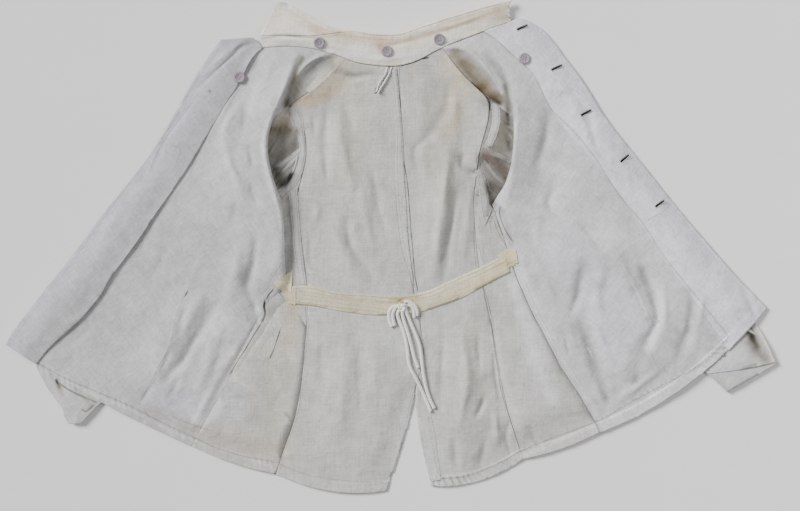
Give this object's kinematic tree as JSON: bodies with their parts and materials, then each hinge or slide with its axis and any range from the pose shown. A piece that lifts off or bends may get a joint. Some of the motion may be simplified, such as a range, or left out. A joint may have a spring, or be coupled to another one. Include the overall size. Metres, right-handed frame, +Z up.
{
  "type": "work tunic",
  "caption": "Linen work tunic laid open on its back, fronts turned out, with stand-and-fall collar, waist tape with drawstring and long sleeves under the fronts.",
  "frame": {"origin": "middle of the whole laid-out tunic, on the surface it lies on", "axes": "+X to the right of the picture (the wearer's left), +Y towards the neck, +Z up from the surface. Left and right in the nodes' names are the picture's."},
  "size_m": [1.2322, 0.7875, 0.0277],
  "materials": {
    "linen": "matt off-white linen drill",
    "linen_back": "matt off-white linen drill, a little yellowed",
    "linen_collar": "matt off-white linen drill, worn and stained at the fold",
    "cotton_tape": "flat cream cotton tape",
    "cotton_cord": "white tubular cotton cord",
    "button": "matt mauve-grey composition button, worn"
  },
  "bodies": {
    "root": {"back_left": "linen_back", "back_right": "linen_back", "side_left": "linen_back", "side_right": "linen_back", "front_left": "linen", "front_right": "linen", "facing_left": "linen", "facing_right": "linen", "pocket_left": "linen", "pocket_right": "linen", "sleeve_top_left": "linen", "sleeve_top_right": "linen", "sleeve_under_left": "linen", "sleeve_under_right": "linen", "hanger_loop": "linen", "collar_stand": "linen_collar", "collar_fall": "linen_collar", "waist_tape": "cotton_tape", "drawstring_knot": "cotton_cord", "drawstring_a": "cotton_cord", "drawstring_b": "cotton_cord", "drawstring_c": "cotton_cord", "drawstring_ear_left": "cotton_cord", "drawstring_ear_right": "cotton_cord", "button_band_1": "button", "button_band_2": "button", "button_band_3": "button", "button_facing_left": "button", "button_facing_right": "button", "button_front_1": "button", "button_front_2": "button", "button_front_3": "button", "button_front_4": "button", "button_front_5": "button"}
  },
  "joints": []
}
